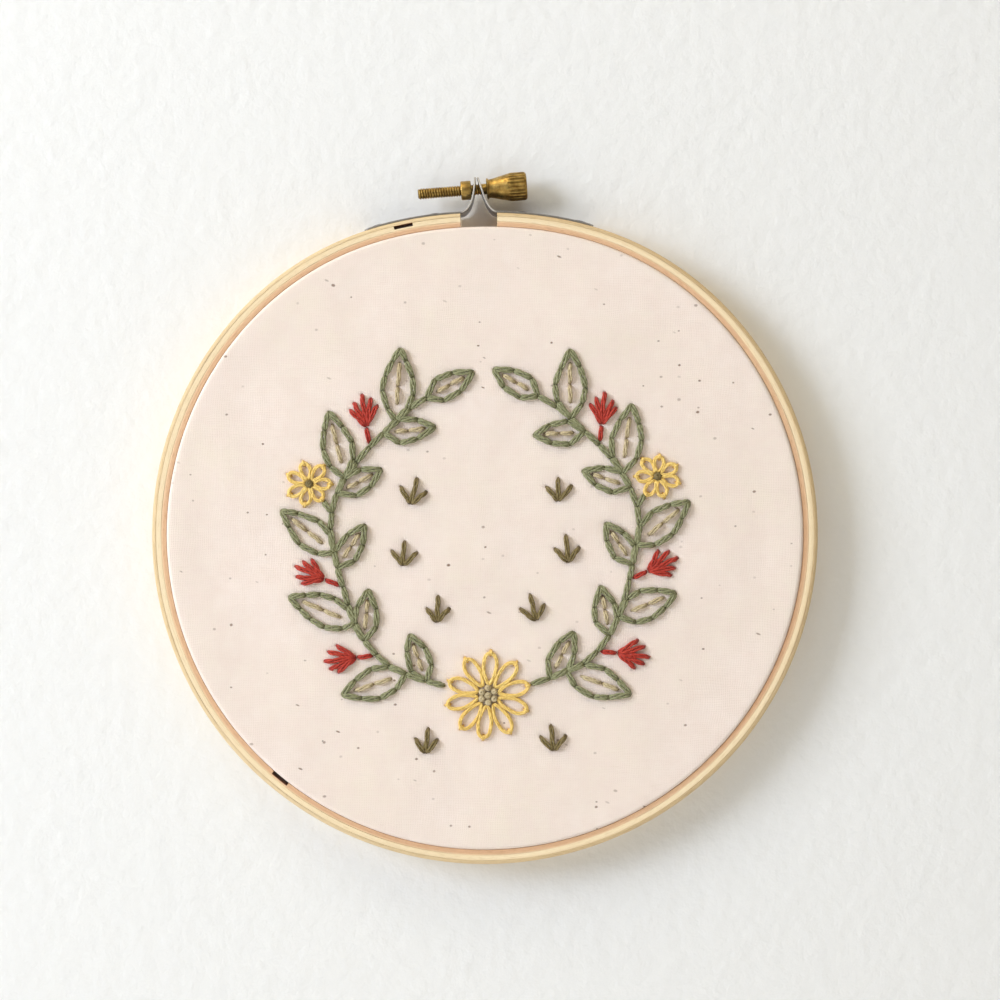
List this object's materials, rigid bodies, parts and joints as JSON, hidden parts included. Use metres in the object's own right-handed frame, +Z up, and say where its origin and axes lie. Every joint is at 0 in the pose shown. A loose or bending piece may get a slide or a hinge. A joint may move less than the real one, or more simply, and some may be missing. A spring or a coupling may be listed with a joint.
{
  "type": "embroidered cloth in a wooden embroidery hoop",
  "caption": "Cotton cloth with simple stitched flowers and leaves, stretched in a wooden screw hoop that hangs from its clamp.",
  "frame": {"origin": "underside of the clamp screw's rod, midway between the ears and midway through the hoop's depth, where the hoop hangs on a nail or hook", "axes": "+Z up through the clamp, +Y out of the back towards the wall, so the embroidered face looks along -Y; +X towards the screw's knob"},
  "size_m": [0.164, 0.0106, 0.1709],
  "materials": {
    "outer_wood": "satin",
    "inner_wood": "satin",
    "cotton": "matte",
    "steel": "satin",
    "brass": "aged"
  },
  "bodies": {
    "hoop": {"outer_hoop": "outer_wood", "inner_hoop": "inner_wood", "cloth": "cotton", "bracket_left": "steel", "bracket_right": "steel", "rivet_left_near": "steel", "rivet_left_far": "steel", "rivet_right_near": "steel", "rivet_right_far": "steel", "nut": "brass"},
    "thumbscrew": {"thumbscrew": "brass"}
  },
  "joints": [
    {"name": "thumbscrew_turn", "type": "hinge", "parent": "hoop", "child": "thumbscrew", "pos_m": [0, 0, 0.00125], "axis": [0.9983, 0, 0.0576], "continuous": true}
  ]
}
